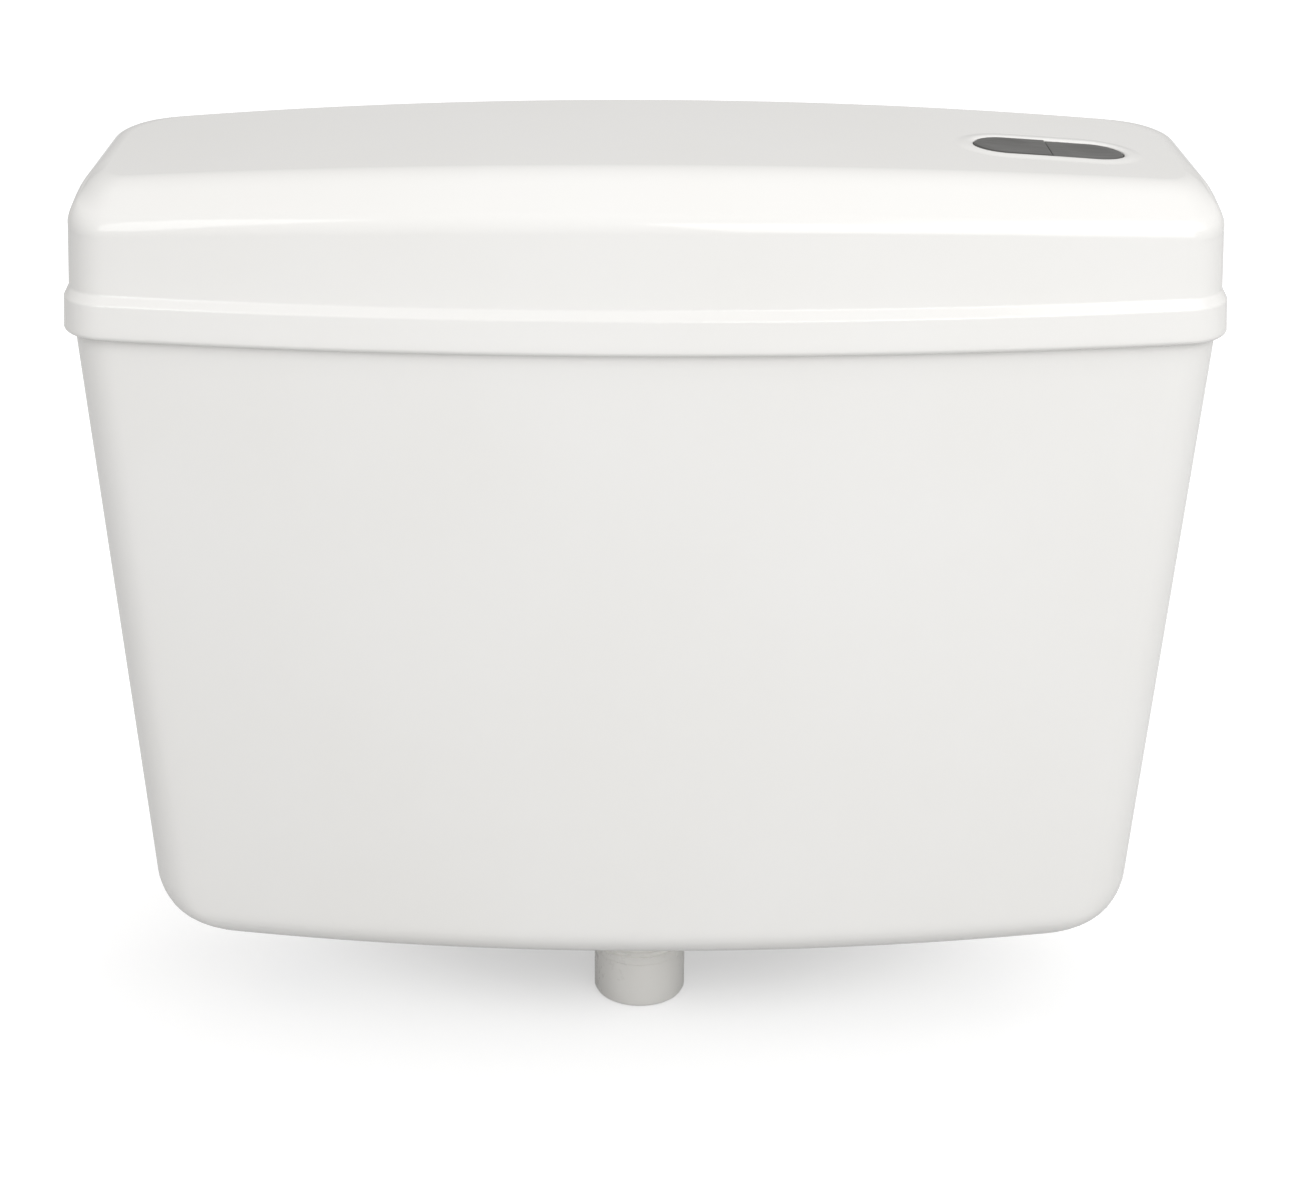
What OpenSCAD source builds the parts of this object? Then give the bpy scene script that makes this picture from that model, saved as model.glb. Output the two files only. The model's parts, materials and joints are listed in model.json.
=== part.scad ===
// Slim wall-hung toilet cistern: a bowed tank under a loose lid with two flush keys,
// a lever linkage to a lifting flush valve, and a bottom-entry fill valve with a float.
// Millimetres. +Z is up, +X is right seen from the front, and the wall is the plane Y = 0.
// The origin is midway between the two wall fixings, on the wall.
// Heights inside the modules count from the underside of the tank.

/* [Body] */
// Width over the rim of the lid
body_w = 450; // [380:1:540]
// Depth from the wall to the front of the rim
body_d = 150; // [125:1:190]
// Height from the underside of the tank to the crown of the lid
body_h = 332; // [270:1:400]
// How far the front bows forward of its corners
front_bow = 20.7; // [0:0.1:40]
// Thickness of the moulded walls
wall = 3; // [2:0.5:4]

/* [Tank] */
// How much narrower each side is at the foot than at the lip
side_taper = 17.5; // [0:0.1:30]
// How far the front leans back at the foot
front_taper = 5; // [0:0.1:20]
// How much more the front bows at the foot
foot_bow = 1.3; // [0:0.1:6]
// Radius of the lower corners, seen from the front
foot_r = 25.5; // [15:0.5:60]
// Radius where the front turns under
toe_r = 13; // [5:1:25]
// Radius of the upright front corners
corner_r = 20; // [12:1:40]
// Thickness of the floor
floor_t = 3.5; // [2.5:0.5:6]

/* [Lid] */
// Height from the lip to the crown
lid_h = 65.5; // [50:0.5:90]
// Height of the rim band that laps over the tank
rim_h = 16.5; // [12:0.5:30]
// How far the rim band stands out from the lid's wall
rim_out = 2.7; // [1.5:0.1:3]
// Drop of the crowned top, 200 mm out from the middle
crown = 8.1; // [0:0.1:16]
// Slope of the front bevel in degrees
bevel_slope = 33.5; // [20:0.5:45]
// Depth of the shoulder where the bevel starts, below the crown
shoulder = 20.2; // [16:0.1:30]
// Radius of the rounded sides of the top
side_r = 10.5; // [6:0.5:30]

/* [Flush keys] */
// Distance of the key opening's centre from the right side
slot_from_side = 65.5; // [50:0.5:110]
// Distance of the key opening's centre from the wall
slot_from_wall = 65.6; // [45:0.1:90]
// Length of the key opening
slot_l = 60; // [44:1:80]
// Width of the key opening
slot_w = 27; // [20:1:34]
// Travel of each key
key_travel = 7.5; // [4:0.5:10]
// Radius of the push rods
rod_r = 3.5; // [2.5:0.1:4.5]
// Radius of a key spring to the middle of its wire
spring_r = 5; // [4.6:0.1:6]
// Thickness of the spring wire
spring_wire = 0.9; // [0.6:0.1:1.2]
// Curls in each key spring
spring_turns = 5; // [3:1:7]

/* [Flush valve] */
// Distance of the outlet's axis from the wall
outlet_from_wall = 70; // [60:1:90]
// Radius of the plain outlet spigot
spigot_r = 20; // [16:0.1:26]
// Length of the outlet below the tank
spigot_l = 53; // [45:1:110]
// Outer radius of the overflow tube
tube_r = 15; // [12:0.5:16]
// Thickness of the overflow tube
tube_t = 2.2; // [1.5:0.1:3]
// Depth of the overflow's mouth below the lip
overflow_drop = 36; // [28:1:60]

/* [Levers] */
// Distance from the key opening's centre back to the lever pivot
pivot_back = 53.5; // [45:0.5:70]
// Radius of the lever pin
pin_r = 3; // [2:0.1:4]
// Thickness of each lever
lever_t = 6; // [4:0.5:8]

/* [Fill valve] */
// Distance of the fill valve's axis from the left side
fill_from_side = 75; // [65:1:110]
// Distance of the fill valve's axis from the wall
fill_from_wall = 60; // [45:1:80]
// Radius of the threaded inlet tail
tail_r = 10.48; // [8:0.01:14]
// Length of the inlet tail below the tank
tail_l = 28; // [20:1:45]
// Angle the float arm hangs below its shut position
float_drop = 24; // [10:1:35]
// Radius of the float
float_r = 20; // [14:1:24]

/* [Wall fixing] */
// Height of the fixings above the underside of the tank
fix_z = 245; // [200:1:300]
// Spacing of the two fixings
fix_spacing = 200; // [120:5:300]
// Radius of each fixing hole
fix_r = 4.2; // [2.5:0.1:6]

/* [Hidden] */
$fn = 64;
gap = 0.4;
half_w = body_w / 2;
rim_z = body_h - lid_h;
tank_top = rim_z + rim_h - 0.3;
slot_x = half_w - slot_from_side;
slot_y = -slot_from_wall;
valve_y = -outlet_from_wall;
overflow_z = rim_z - overflow_drop;
pivot_x = slot_x - pivot_back;
stem_dx = 12;
lever_play = 0.5;
cheek_t = 4;
stem_dy = (lever_t + cheek_t) / 2 + lever_play;
full_x = slot_x - stem_dx;
half_x = slot_x + stem_dx;
full_y = slot_y - stem_dy;
half_y = slot_y + stem_dy;
sleeve_r = tube_r + 3;
disc_r = sleeve_r + 9;
disc_t = 4;
pad_r = 4;
half_disc_z = overflow_z - 4 - disc_t;
disc_step = 40;
full_disc_z = half_disc_z - disc_step;
half_pad_z = half_disc_z - gap - pad_r;
full_pad_z = full_disc_z - gap - pad_r;
pivot_z = (half_pad_z + full_pad_z) / 2;
key_pad_z = pivot_z + 3;
neck_z = full_disc_z - 18;
drum_z = neck_z - 30;
fill_x = fill_from_side - half_w;
fill_y = -fill_from_wall;
head_z = overflow_z - 62;
arm_x = fill_x + 10;
ear_up = 43.5;
arm_z = head_z + ear_up;
slot_z = body_h - crown * pow(slot_x / 200, 2);
slot_tilt = atan(2 * crown * slot_x / 40000);

white = [0.93, 0.93, 0.92];
grey = [0.4, 0.4, 0.41];
blue = [0.35, 0.55, 0.75];
black = [0.12, 0.12, 0.12];
steel = [0.75, 0.76, 0.78];

function lerp(a, b, t) = a + (b - a) * t;
function ease(t) = t * t * (3 - 2 * t);
function crown_drop(x) = crown * pow(x / 200, 2);

// Plan outline of the body: a straight back, straight sides and a bowed front, with round
// corners. Each point is [x, y, s], where s runs from 0 on the front to 1 on the sides
// and 2 on the back. Front and back points pair up at equal places in the list.
front_steps = 20;
corner_steps = 6;
function front_angle(x, w, bow) = atan(2 * bow * x / (w * w));
function tangent_x(w, bow, r, x) = w - r + r * sin(front_angle(x, w, bow));
function corner_x(w, bow, r) = tangent_x(w, bow, r, tangent_x(w, bow, r, w - r));
function front_half(w, yf, bow, r) = let(
    xt = corner_x(w, bow, r),
    a = front_angle(xt, w, bow),
    cy = yf + bow * pow(xt / w, 2) + r * cos(a)
  ) [for (i = [0:corner_steps])
      let(t = i / corner_steps, q = lerp(a - 90, 0, t)) [w - r + r * cos(q), cy + r * sin(q), t]];
function back_half(w, yb, r) = [for (i = [0:corner_steps])
    let(t = i / corner_steps, q = lerp(90, 0, t)) [w - r + r * cos(q), yb - r + r * sin(q), 2 - t]];
function flip(p) = [-p[0], p[1], p[2]];
function reverse(l) = [for (i = [len(l) - 1:-1:0]) l[i]];
function front_line(w, yf, bow, xt) = [for (i = [1:front_steps - 1])
    let(x = lerp(-xt, xt, i / front_steps)) [x, yf + bow * pow(x / w, 2), 0]];
function back_line(yb, xt) = [for (i = [1:front_steps - 1]) [lerp(-xt, xt, i / front_steps), yb, 2]];
function outline(w, yf, bow, yb, rf, rb) = let(
    f = front_half(w, yf, bow, rf),
    b = back_half(w, yb, rb),
    front = concat([for (p = reverse(f)) flip(p)], front_line(w, yf, bow, f[0][0]), f),
    back = concat([for (p = reverse(b)) flip(p)], back_line(yb, b[0][0]), b)
  ) concat(front, reverse(back));

// A closed shell through rings of equal length: the first and last rings are capped
// by strips that run from the front to the back.
module skin(rings) {
  n = len(rings[0]);
  m = n / 2;
  last = (len(rings) - 1) * n;
  sides = [for (k = [0:len(rings) - 2], i = [0:n - 1], h = [0, 1])
    let(a = k * n + i, b = k * n + (i + 1) % n)
    h == 0 ? [a, a + n, b + n] : [a, b + n, b]];
  first_cap = [for (i = [0:m - 2], h = [0, 1])
    h == 0 ? [i, i + 1, n - 2 - i] : [i, n - 2 - i, n - 1 - i]];
  last_cap = [for (i = [0:m - 2], h = [0, 1])
    h == 0 ? [last + i, last + n - 2 - i, last + i + 1]
           : [last + i, last + n - 1 - i, last + n - 2 - i]];
  polyhedron([for (r = rings, p = r) p], concat(first_cap, sides, last_cap), convexity = 10);
}

// Inset of a rounded edge of radius r at height z above the flat it turns into
function round_in(r, z) = z >= r ? 0 : r - sqrt(max(0, r * r - pow(r - z, 2)));

// The tank's outline at height z, moved in by t
back_step = wall + 1;
function tank_back(z) = -back_step * min(1, max(0, (z - rim_z + 12) / 10));
lid_play = 0.6;
function lean(z) = max(0, 1 - z / (rim_z - 2));
function tank_half(z) = half_w - wall - lid_play - side_taper * lean(z);
function tank_front(z) = -body_d + wall + lid_play + 0.4 + front_taper * lean(z);
function tank_ring(z, t, base) = let(
    s = round_in(foot_r - t, z - base),
    f = round_in(toe_r - t, z - base),
    b = round_in(8 - t, z - base),
    w = tank_half(z) - t
  ) [for (p = outline(w - s, tank_front(z) + t + f, (front_bow + foot_bow * lean(z)) * pow((w - s) / w, 2),
        tank_back(z) - t - b, corner_r - t, 10 - t)) [p[0], p[1], z]];
foot_steps = [0, 0.02, 0.07, 0.15, 0.26, 0.42, 0.64, 1];

module tank() {
  inner_r = foot_r - wall;
  outer = concat([for (q = foot_steps) q * foot_r], [rim_z - 12, rim_z - 2, tank_top]);
  inner = concat([tank_top, rim_z - 2, rim_z - 12], [for (q = reverse(foot_steps)) floor_t + q * inner_r]);
  rings = concat([for (z = outer) tank_ring(z, 0, 0)], [for (z = inner) tank_ring(z, wall, floor_t)]);
  color(white) difference() {
    union() {
      skin(rings);
      for (s = [-1, 1]) translate([s * fix_spacing / 2, -wall - 3, fix_z])
        rotate([-90, 0, 0]) cylinder(r = 13, h = 3 + wall / 2);
      bridge_ledges();
    }
    for (s = [-1, 1]) translate([s * fix_spacing / 2, -wall - 4, fix_z])
      rotate([-90, 0, 0]) cylinder(r = fix_r, h = wall + 5);
    translate([0, valve_y, -1]) cylinder(r = spigot_r + 1.6, h = floor_t + 2);
    translate([fill_x, fill_y, -1]) cylinder(r = riser_shank + 0.5, h = floor_t + 2);
  }
}

// Two ledges inside the front and back walls carry the lever bridge, each with a peg.
bridge_w = 22;
bridge_t = 6;
bridge_z = pivot_z - 15 - bridge_t;
ledge_l = 11;
ledge_end = (pivot_x + bridge_w / 2) / tank_half(bridge_z);
ledge_front = tank_front(bridge_z) + front_bow * pow(ledge_end, 2) + 0.6;
bar_front = ledge_front + wall + 0.6;
peg_back = -wall - 6;
peg_front = bar_front + 5;
module bridge_ledges() {
  x0 = pivot_x - bridge_w / 2 - 1;
  translate([x0 + 1, -wall - ledge_l, bridge_z - 8]) cube([bridge_w, ledge_l + wall / 2, 8]);
  translate([x0 + 1, ledge_front, bridge_z - 8]) cube([bridge_w, wall + ledge_l, 8]);
  for (y = [peg_back, peg_front]) translate([pivot_x, y, bridge_z - 1]) cylinder(r = 2.6, h = bridge_t + 3);
}

// The lid's upper profile. The front rolls off the wall, climbs the bevel and rolls on to
// the level top. The bevel keeps its slope, so it narrows as the top comes down to the ends.
// The sides and the back are plain quarter rounds. All follow the crown.
roll_low = 10;
roll_high = 24;
bevel_n = 90 - bevel_slope;
wall_follow = 0.75;
lid_draft = 1.15;
front_turn = [0, 19, 38, bevel_n, bevel_n, lerp(bevel_n, 90, 0.35), lerp(bevel_n, 90, 0.7), 90];
side_turn = [0, 16, 32, 46, 60, 72, 82, 90];
wall_in = rim_out + lid_draft;
function shoulder_at(x) = shoulder - (1 - wall_follow) * crown_drop(x);
function bevel_run(x) =
  (shoulder_at(x) - roll_low * sin(bevel_n) - roll_high * (1 - sin(bevel_n))) / tan(bevel_slope);
function front_in(j, x) = j < 4 ? wall_in + roll_low * (1 - cos(front_turn[j]))
  : wall_in + roll_low * (1 - cos(bevel_n)) + bevel_run(x) + roll_high * (cos(bevel_n) - cos(front_turn[j]));
function front_up(j, x) = body_h - crown_drop(x) + (j < 4 ? roll_low * sin(front_turn[j]) - shoulder_at(x)
  : -roll_high * (1 - sin(front_turn[j])));
function front_point(p, j, t, zs) = let(e = ease(p[2]), n = front_turn[j]) [
    p[0],
    p[1] + (front_in(j, p[0]) - front_in(j, 0)) * (1 - e),
    lerp(front_up(j, p[0]) - t * sin(n), zs - crown_drop(p[0]), e)
  ];
function back_point(p, zs, zb) = [p[0], p[1], lerp(zs, zb, ease(p[2] - 1)) - crown_drop(p[0])];
back_gap = 0.3;
function lid_outline(fi, si, bi, r) =
  outline(half_w - si, -body_d + fi, front_bow * pow((half_w - si) / half_w, 2), -back_gap - bi, r, 8);
function upper_ring(j, t) = let(
    a = side_turn[j],
    fi = front_in(j, 0) + t * cos(front_turn[j]),
    si = wall_in + side_r * (1 - cos(a)) + t * cos(a),
    bi = 4 * (1 - cos(a)) + t * cos(a),
    zs = body_h - side_r * (1 - sin(a)) - t * sin(a),
    zb = body_h - 4 * (1 - sin(a)) - t * sin(a)
  ) [for (p = lid_outline(fi, si, bi, corner_r - 0.5 * t - j))
    p[2] <= 1 ? front_point(p, j, t, zs) : back_point(p, zs, zb)];
function lower_ring(z, i, b) = [for (p = lid_outline(i, i, b, corner_r)) [p[0], p[1], z]];
lip = [[0, 2.2], [0.6, 1.1], [2.4, 0.3], [4.5, 0], [rim_h - 3.4, 0.6], [rim_h - 2.2, 0.95],
  [rim_h + 1.4, rim_out - 0.3], [rim_h + 2.2, rim_out]];

module lid() {
  inside = concat([for (j = [7:-1:0]) upper_ring(j, wall)],
    [lower_ring(rim_z + rim_h, rim_out + wall, wall + 2.4), lower_ring(rim_z + rim_h, wall, wall),
     lower_ring(rim_z, wall, wall)]);
  outside = concat([for (q = lip) lower_ring(rim_z + q[0], q[1], 0)], [for (j = [0:7]) upper_ring(j, 0)]);
  color(white) difference() {
    union() {
      skin(concat(inside, outside));
      for (x = [rib_from : rib_step : -rib_from / 2]) lid_rib(x);
      at_keys() key_collar();
      at_pegs() cylinder(r = peg_r, h = plate_t + wall / 2);
      at_pegs() translate([0, 0, -1.4]) cylinder(r = peg_r + 1.2, h = 1.5);
    }
    translate([slot_x, slot_y, slot_z - 20]) obround(slot_l, slot_w, 40);
    at_keys() translate([0, 0, -0.2]) flared_obround(slot_w / 2, slot_w / 2 + 2.4, 1.8);
  }
}

// The collar round the key opening: a low swelling in the skin with an eased inner edge
collar_h = 0.7;
module key_collar() {
  translate([0, 0, -collar_h]) flared_obround(slot_w / 2 + 8, slot_w / 2 + 4, collar_h + 0.4);
  translate([0, 0, 0.3]) flared_obround(slot_w / 2 + 4.4, slot_w / 2 + 2, collar_h - 0.3);
}

// A stiffening rib from front to back under the level top
rib_t = 2;
rib_h = 9;
rib_from = -140;
rib_step = 70;
rib_front = -body_d + front_in(7, 0) + front_bow * pow(rib_from / half_w, 2) + 4;
module lid_rib(x) {
  under = body_h - crown_drop(x) - wall;
  translate([x - rib_t / 2, rib_front, under - rib_h])
    cube([rib_t, -rib_front - wall - 6, rib_h + wall / 3]);
}

// An obround block standing on the plane below it
module obround(l, w, h) {
  for (s = [-1, 1]) translate([s * (l - w) / 2, 0, 0]) cylinder(r = w / 2, h = h);
  translate([-(l - w) / 2, -w / 2, 0]) cube([l - w, w, h]);
}

// The same with sloping walls: its ends are cones from one radius to another
module flared_obround(r1, r2, h) {
  straight = slot_l - slot_w;
  for (s = [-1, 1]) translate([s * straight / 2, 0, 0]) cylinder(r1 = r1, r2 = r2, h = h);
  translate([-straight / 2, 0, 0]) rotate([90, 0, 90]) linear_extrude(straight)
    polygon([[-r1, 0], [r1, 0], [r2, h], [-r2, h]]);
}

// The middle of the key opening on the lid's surface, along its tilt
module at_keys() translate([slot_x, slot_y, slot_z]) rotate([0, slot_tilt, 0]) children();
module tilted_slab(low, high) at_keys() translate([-100, -60, low]) cube([200, 120, high - low]);

// The four pegs under the lid whose ends are melted over the guide's flange
peg_r = 1.5;
plate_t = 4;
flange_low = -wall - plate_t + 1.2;
module at_pegs() at_keys() for (sx = [-1, 1], sy = [-1, 1])
  translate([sx * 14, sy * (slot_w / 2 + 4.6), flange_low - 0.3]) children();
key_foot = slot_z - 10;
guide_floor = key_foot - key_travel - spring_turns * spring_wire - plate_t;
module key_guide() {
  color(white) difference() {
    union() {
      intersection() {
        translate([slot_x, slot_y, slot_z - 20]) obround(slot_l + 15, slot_w + 15, 40);
        tilted_slab(flange_low, -wall - gap);
      }
      intersection() {
        translate([slot_x, slot_y, guide_floor]) obround(slot_l + 3.4, slot_w + 3.4, 40);
        tilted_slab(-60, -wall - gap);
      }
    }
    at_pegs() cylinder(r = peg_r + 0.3, h = plate_t);
    translate([slot_x, slot_y, guide_floor + plate_t]) obround(slot_l, slot_w, 60);
    translate([full_x, full_y, guide_floor - 1]) cylinder(r = rod_r + 0.3, h = plate_t + 2);
    translate([half_x, half_y, guide_floor - 1]) cylinder(r = rod_r + 0.3, h = plate_t + 2);
  }
}

// One key: the part of the opening's outline on its own side, with a shallow finger dish.
// The full flush key stands a little higher than the half flush key.
dish_r = 150;
dish = 0.35;
module flush_key(s, sx, sy) {
  top = s < 0 ? 0.3 : -0.1;
  color(grey) difference() {
    intersection() {
      translate([slot_x, slot_y, key_foot]) obround(slot_l - 1, slot_w - 1, 30);
      tilted_slab(-30, top);
      translate([slot_x + (s > 0 ? 0.3 : -60.3), slot_y - 40, key_foot - 5]) cube([60, 80, 40]);
    }
    at_keys() translate([s * slot_l / 4, 0, top + dish_r - dish]) sphere(r = dish_r, $fn = 200);
    translate([sx, sy, key_foot - 1]) cylinder(r = rod_r, h = 6);
  }
}
module full_flush_key() flush_key(-1, full_x, full_y);
module half_flush_key() flush_key(1, half_x, half_y);

// A push rod: a plain stem with a stop collar under the guide and a screwed foot
module push_rod(x, y) {
  foot = key_pad_z + pad_r + gap;
  color(white) translate([x, y, 0]) rotate_extrude() polygon([
    [0, foot], [4, foot], [5, foot + 1], [5, foot + 6], [rod_r, foot + 7],
    [rod_r, guide_floor - 4], [6, guide_floor - 3.4], [6, guide_floor - gap],
    [rod_r, guide_floor - gap], [rod_r, key_foot + 5], [0, key_foot + 5]
  ]);
}
module full_push_rod() push_rod(full_x, full_y);
module half_push_rod() push_rod(half_x, half_y);

// A coil of round wire between the guide's floor and the key's foot
module key_spring(x, y) {
  low = guide_floor + plate_t + spring_wire / 2 + 0.05;
  high = key_foot - spring_wire / 2 - 0.3;
  rings = spring_turns * 8;
  sides = 6;
  w = spring_wire / 2;
  pts = [for (i = [0:rings], k = [0:sides - 1])
    let(a = i * 45, q = k * 360 / sides, r = spring_r + w * cos(q))
    [x + r * cos(a), y + r * sin(a), lerp(low, high, i / rings) + w * sin(q)]];
  walls = [for (i = [0:rings - 1], k = [0:sides - 1], h = [0, 1])
    let(p = i * sides + k, q = i * sides + (k + 1) % sides)
    h == 0 ? [p, q, q + sides] : [p, q + sides, p + sides]];
  echo(curl_gap = (high - low) / spring_turns - spring_wire);
  color(steel) polyhedron(pts, concat([[for (k = [sides - 1:-1:0]) k]], walls,
    [[for (k = [0:sides - 1]) rings * sides + k]]), convexity = 10);
}
module full_key_spring() key_spring(full_x, full_y);
module half_key_spring() key_spring(half_x, half_y);

// A bar laid across the tank on its ledges, with three cheeks that hold the lever pin
mid_y = (full_y + half_y) / 2;
cheek_out = (lever_t + cheek_t) / 2 + lever_play;
cheek_y = [mid_y, full_y - cheek_out, half_y + cheek_out];
module lever_bridge() {
  color(white) difference() {
    union() {
      translate([pivot_x - bridge_w / 2, bar_front, bridge_z])
        cube([bridge_w, -wall - 0.5 - bar_front, bridge_t]);
      for (s = [-1, 1]) translate([pivot_x + s * (bridge_w / 2 - 1.5) - 1.5, bar_front + 12, bridge_z - 6])
        cube([3, -wall - 24.5 - bar_front, 7]);
      for (y = cheek_y) translate([pivot_x, y, 0]) {
        translate([0, cheek_t / 2, pivot_z]) rotate([90, 0, 0]) cylinder(r = 7, h = cheek_t);
        translate([-7, -cheek_t / 2, bridge_z + 1]) cube([14, cheek_t, pivot_z - bridge_z - 1]);
      }
    }
    translate([pivot_x, 0, pivot_z]) rotate([90, 0, 0]) cylinder(r = pin_r, h = 200);
    for (y = [peg_back, peg_front]) translate([pivot_x, y, bridge_z - 10]) cylinder(r = 2.8, h = 30);
  }
}

module lever_pin() {
  y0 = min(cheek_y) - cheek_t / 2 - 2;
  y1 = max(cheek_y) + cheek_t / 2 + 2;
  color(steel) translate([pivot_x, y1, pivot_z]) rotate([90, 0, 0]) {
    cylinder(r = pin_r, h = y1 - y0);
    translate([0, 0, -1.5]) cylinder(r = pin_r + 1.5, h = 1.5);
  }
}

// A flat bar that runs out of the lever's hub to a point in the XZ plane
hub_r = 6.5;
bar_d = 7;
module lever_bar(y, x, z) {
  l = norm([x - pivot_x, z - pivot_z]);
  a = atan2(z - pivot_z, x - pivot_x);
  t = lever_t - 1;
  translate([pivot_x, y, pivot_z]) rotate([0, -a, 0])
    translate([4.8, -t / 2, -bar_d / 2]) cube([l - 4.8, t, bar_d]);
}

// A lever: a hub on the pin, an arm to a round pad under its push rod, and an arm to a
// yoke whose two round pads sit under the disc of the piece it lifts.
yoke_in = sleeve_r + 0.6;
yoke_t = 6;
module flush_lever(y, kx, pz) {
  yoke_x = disc_r + 6;
  color(blue) difference() {
    union() {
      translate([pivot_x, y + lever_t / 2, pivot_z]) rotate([90, 0, 0]) cylinder(r = hub_r, h = lever_t);
      lever_bar(y, kx, key_pad_z);
      translate([kx, y + lever_t / 2, key_pad_z]) rotate([90, 0, 0]) cylinder(r = pad_r, h = lever_t);
      lever_bar(y, yoke_x + 4, pz);
      translate([yoke_x, valve_y - yoke_in - yoke_t, pz - 3.5]) cube([8, 2 * (yoke_in + yoke_t), 7]);
      for (s = [-1, 1]) translate([0, valve_y + s * (yoke_in + yoke_t / 2), pz]) {
        translate([-1, -yoke_t / 2, -3.5]) cube([yoke_x + 2, yoke_t, 4.5]);
        translate([0, yoke_t / 2 - 0.3, 0]) rotate([90, 0, 0]) cylinder(r = pad_r, h = yoke_t - 0.6);
      }
    }
    translate([pivot_x, y + 10, pivot_z]) rotate([90, 0, 0]) cylinder(r = pin_r + 0.05, h = 20);
  }
}
module full_lever() flush_lever(full_y, full_x, full_pad_z);
module half_lever() flush_lever(half_y, half_x, half_pad_z);

// Profile points of a screw thread drawn as parallel grooves, from the bottom up
groove = [[0, 0], [0.2, 1], [0.3, 1], [0.5, 0]];
function thread(r, depth, low, pitch, n) = [for (i = [0:n - 1], q = groove)
  [r - q[1] * depth, low + (i + q[0]) * pitch]];

// The fixed seat: outlet spigot, screwed shank, flange, seat lip and the ring round the tower
shank_r = spigot_r + 1.1;
outlet_r = spigot_r - 3.4;
seat_r = outlet_r + 4.2;
seat_z = 11;
seal_r = seat_r + 4.7;
tower_r = seal_r + 5.5;
flange_r = tower_r + 5;
washer_r = flange_r - 3;
module valve_base() {
  color(white) translate([0, valve_y, 0]) rotate_extrude() polygon(concat(
    [[outlet_r, -spigot_l], [spigot_r - 0.8, -spigot_l], [spigot_r, -spigot_l + 1.5],
     [spigot_r, -32], [shank_r - 0.7, -31.4], [shank_r, -30.4]],
    thread(shank_r, 0.7, -24.8, 2.3, 8),
    [[shank_r, 6.5], [flange_r - 1, 6.5], [flange_r, 7.5], [flange_r, 22], [tower_r + gap, 22],
     [tower_r + gap, seat_z], [seat_r + 1.8, seat_z], [seat_r + 0.8, seat_z + 4.5],
     [seat_r - 0.8, seat_z + 4.5], [seat_r - 1.8, seat_z], [outlet_r, seat_z - 2]]));
}

module flat_ring(y, x, r0, r1, z, h) {
  translate([x, y, z]) difference() {
    cylinder(r = r1, h = h);
    translate([0, 0, -1]) cylinder(r = r0, h = h + 2);
  }
}
module base_gasket() color(black) flat_ring(valve_y, 0, shank_r + 0.2, washer_r, floor_t, 6.5 - floor_t);
module outlet_washer() color(black) flat_ring(valve_y, 0, shank_r + 0.2, washer_r, -3, 3);

// A back nut with a flange and grip ribs
module back_nut(x, y, z, r, flange, ribs) {
  color(white) translate([x, y, z]) difference() {
    union() {
      cylinder(r = flange, h = 3);
      translate([0, 0, -11]) cylinder(r = r + 4.5, h = 11);
      for (i = [0:ribs - 1]) rotate([0, 0, i * 360 / ribs]) translate([r + 3, -1.5, -11])
        cube([flange - r - 4, 3, 12]);
    }
    translate([0, 0, -12]) cylinder(r = r, h = 20);
  }
}
module outlet_nut() back_nut(0, valve_y, -6, shank_r + 0.1, washer_r, 12);

// The tower: a drum on four legs with a guide neck for the overflow tube
module valve_tower() {
  color(blue) translate([0, valve_y, 0]) difference() {
    rotate_extrude() polygon([
      [tower_r - 3, seat_z], [tower_r, seat_z], [tower_r, drum_z - 3], [tower_r - 3, drum_z],
      [tube_r + 4, drum_z], [tube_r + 4, neck_z], [tube_r + 0.4, neck_z],
      [tube_r + 0.4, drum_z - 4], [tower_r - 3, drum_z - 4]]);
    for (a = [0, 90]) rotate([0, 0, a + 45]) translate([-50, -14, 24]) cube([100, 28, drum_z - 80]);
  }
}

// A sleeve that rides on the overflow tube: the full-flush yoke lifts its disc
module lift_sleeve() {
  top = half_disc_z - 21.6;
  color(grey) translate([0, valve_y, 0]) rotate_extrude() polygon([
    [tube_r + 0.4, neck_z + gap], [sleeve_r, neck_z + gap], [sleeve_r, full_disc_z],
    [disc_r, full_disc_z], [disc_r, full_disc_z + disc_t], [sleeve_r, full_disc_z + disc_t],
    [sleeve_r, top], [tube_r + 0.4, top]]);
}

// The collar fixed on the tube over the sleeve: the half-flush yoke lifts its disc
module lift_collar() {
  low = half_disc_z - 21.6 + gap;
  color(white) translate([0, valve_y, 0]) rotate_extrude() polygon([
    [tube_r, low], [sleeve_r, low], [sleeve_r, half_disc_z], [disc_r, half_disc_z],
    [disc_r, half_disc_z + disc_t], [tube_r, half_disc_z + disc_t]]);
}

// The overflow tube, with the flange that carries the flush seal at its foot
seal_z = seat_z + 4.8;
seal_t = 3.2;
module overflow_tube() {
  color(white) translate([0, valve_y, 0]) rotate_extrude() polygon([
    [tube_r - tube_t, seat_z - 1], [tube_r - 1, seat_z - 1], [tube_r - 1, seal_z + seal_t],
    [seal_r - 2.5, seal_z + seal_t], [seal_r - 2.5, seal_z + seal_t + 3], [tube_r + 4, seal_z + seal_t + 3],
    [tube_r, seal_z + seal_t + 8], [tube_r, overflow_z], [tube_r - tube_t, overflow_z]]);
}
module flush_seal() color(black) flat_ring(valve_y, 0, tube_r - 1, seal_r, seal_z, seal_t);
module seal_retainer() {
  color(grey) flat_ring(valve_y, 0, tube_r - 1, tube_r + 1.6, seat_z - 1, seal_z - seat_z + 1);
}
module control_float() color(white) flat_ring(valve_y, 0, tube_r, tower_r - 5, drum_z - 54, 15);

// The fill valve's standing pipe: screwed tail, flange and column
riser_flange = 5.5;
riser_r = tail_r + 6.5;
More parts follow.
